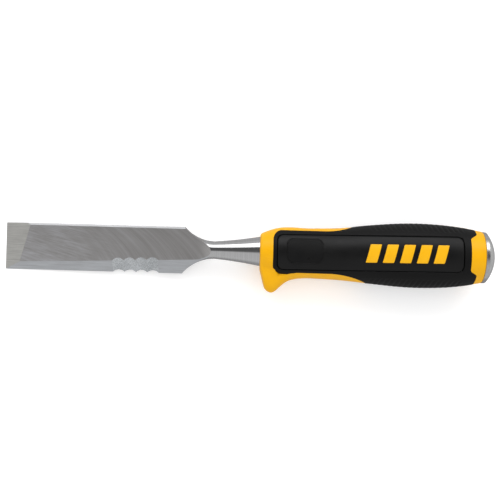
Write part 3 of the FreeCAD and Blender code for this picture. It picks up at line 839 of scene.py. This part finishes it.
def make_floor():
    """Pale bench, tilted to touch the tip and the lowest part of the handle."""
    mesh = bpy.data.meshes.new("bench")
    tilt = seat_angle()
    corners = [(x * BENCH_HALF, y * BENCH_HALF, 0) for x, y in ((-1, -1), (1, -1), (1, 1), (-1, 1))]
    mesh.from_pydata(corners, [], [(0, 1, 2, 3)])
    floor = bpy.data.objects.new("bench", mesh)
    bpy.context.collection.objects.link(floor)
    floor.rotation_euler = (0, tilt, 0)
    floor.location = (0, 0, -BENCH_GAP)
    finish = Finish("pale_bench", (0.9, 0.9, 0.9), 0.8)
    cloud = finish.noise(finish.stretched((3, 3, 3)), detail=2)
    finish.color(cloud, (0.3, grey(0.885)), (0.7, grey(0.905)))
    mesh.materials.append(finish.material)
    # a faintly lit table: shadows stay light, and the metal reflects the grey surroundings
    finish.shader.inputs["Emission Color"].default_value = (1, 1, 1, 1)
    finish.shader.inputs["Emission Strength"].default_value = 0.22
    floor.visible_glossy = False


def area_light(name, place, aim, size, power):
    """A soft rectangular light that lights the tool but isn't mirrored in its metal."""
    light = bpy.data.lights.new(name, "AREA")
    light.shape = "RECTANGLE"
    light.size, light.size_y = size
    light.energy = power
    lamp = bpy.data.objects.new(name, light)
    bpy.context.collection.objects.link(lamp)
    lamp.location = place
    lamp.rotation_euler = (Vector(aim) - Vector(place)).to_track_quat("-Z", "Y").to_euler()
    lamp.visible_glossy = False


# degrees from overhead towards the spine side, and the surroundings' brightness there
SURROUNDINGS = (
    (-180, 0.3), (-150, 0.32), (-112, 0.44), (-98, 0.62), (-80, 0.66), (-70, 0.64),
    (-17, 0.62), (-11, 0.4), (-6, 0.18), (0, 0.13), (32, 0.12), (37, 1.4), (42, 2.7),
    (68, 2.7), (75, 0.62), (97, 0.6), (105, 0.5), (130, 0.55), (150, 0.46), (180, 0.3),
)


def make_world():
    """Soft studio surroundings: pale round the sides, a bright bank on the spine side, darker overhead."""
    world = bpy.data.worlds.new("studio")
    bpy.context.scene.world = world
    world.use_nodes = True
    nodes, links = world.node_tree.nodes, world.node_tree.links
    place = nodes.new("ShaderNodeTexCoord").outputs["Generated"]
    parts = nodes.new("ShaderNodeSeparateXYZ")
    links.new(place, parts.inputs[0])
    turn = nodes.new("ShaderNodeMath")
    turn.operation = "ARCTAN2"
    links.new(parts.outputs["Y"], turn.inputs[0])
    links.new(parts.outputs["Z"], turn.inputs[1])
    scaled = nodes.new("ShaderNodeMapRange")
    scaled.inputs["From Min"].default_value = -math.pi
    scaled.inputs["From Max"].default_value = math.pi
    links.new(turn.outputs[0], scaled.inputs["Value"])
    ramp = nodes.new("ShaderNodeValToRGB")
    fill_ramp(ramp, [((angle + 180) / 360, (level, level, level * 1.01)) for angle, level in SURROUNDINGS])
    links.new(scaled.outputs["Result"], ramp.inputs["Fac"])
    side = nodes.new("ShaderNodeMath")
    side.operation = "ABSOLUTE"
    links.new(parts.outputs["X"], side.inputs[0])
    amount = nodes.new("ShaderNodeMapRange")
    amount.interpolation_type = "SMOOTHSTEP"
    amount.inputs["From Min"].default_value = 0.45
    amount.inputs["From Max"].default_value = 0.8
    links.new(side.outputs[0], amount.inputs["Value"])
    mix = nodes.new("ShaderNodeMix")
    mix.data_type = "RGBA"
    links.new(amount.outputs["Result"], mix.inputs["Factor"])
    links.new(ramp.outputs["Color"], mix.inputs["A"])
    mix.inputs["B"].default_value = (0.7, 0.7, 0.7, 1)
    links.new(mix.outputs["Result"], nodes["Background"].inputs["Color"])
    nodes["Background"].inputs["Strength"].default_value = 1.0


def make_camera():
    """Straight down on the bevel side, with the tool's axis falling slightly to the right."""
    camera = bpy.data.cameras.new("camera")
    camera.sensor_width = 36.0
    # height over the tool's axis, and width of the view at that distance, in metres
    distance, width = 0.50, 0.2722
    camera.lens = camera.sensor_width * distance / width
    camera.clip_start = 0.01
    eye = bpy.data.objects.new("camera", camera)
    bpy.context.collection.objects.link(eye)
    eye.location = (0.1339, 0.0006, AXIS * MM + distance)
    eye.rotation_euler = (0, 0, math.radians(1.63))
    bpy.context.scene.camera = eye


# ---------------------------------------------------------------- build

plastic = moulded("yellow_plastic", (0.72, 0.355, 0.0), (0.76, 0.378, 0.001), 0.36, 900, 0.12,
                  Specular_IOR_Level=0.2)
rubber = moulded("black_rubber", (0.0012, 0.0012, 0.0012), (0.0024, 0.0024, 0.0024), 0.55, 2600, 0.4,
                 Specular_IOR_Level=0.2)
satin = moulded("black_plate", (0.0025, 0.0025, 0.0025), (0.0038, 0.0038, 0.0038), 0.42, 3200, 0.25,
                Specular_IOR_Level=0.24)
matte = moulded("matte_pad", (0.002, 0.002, 0.0021), (0.0035, 0.0035, 0.0035), 0.62, 2200, 0.7,
                Specular_IOR_Level=0.21)
badge = moulded("yellow_bars", (0.73, 0.37, 0.001), (0.77, 0.39, 0.003), 0.36, 1200, 0.12,
                Specular_IOR_Level=0.25)

make_core(plastic)
make_cover(rubber)
make_plates(satin)
make_pads(matte)
make_bars(badge)
make_cap(cap_steel())
neck_steel = turned_steel()
make_neck(neck_steel)
make_blade([
    ground_steel(),
    bevel_steel("end_bevel_steel", (60, 1500, 90), (0.44, 0.435, 0.415), (0.59, 0.585, 0.56), 0.4),
    bevel_steel("side_bevel_steel", (70, 1300, 900), (0.5, 0.51, 0.525), (0.62, 0.64, 0.66), 0.38),
    bevel_steel("scallop_steel", (2000, 2000, 2000), (0.38, 0.4, 0.41), (0.88, 0.91, 0.93), 0.42, 0.9),
    neck_steel,
    bevel_steel("land_steel", (60, 900, 900), (0.4, 0.405, 0.41), (0.48, 0.485, 0.49), 0.42),
])

make_floor()
make_world()
make_camera()
middle = (0.13, 0, 0)
area_light("key", (0.13, 0.6, 1.1), middle, (2.2, 1.8), 11.8)
area_light("fill", (0.13, -0.9, 0.9), middle, (2.2, 1.4), 7.2)

scene = bpy.context.scene
scene.view_settings.view_transform = "Standard"
scene.view_settings.look = "None"
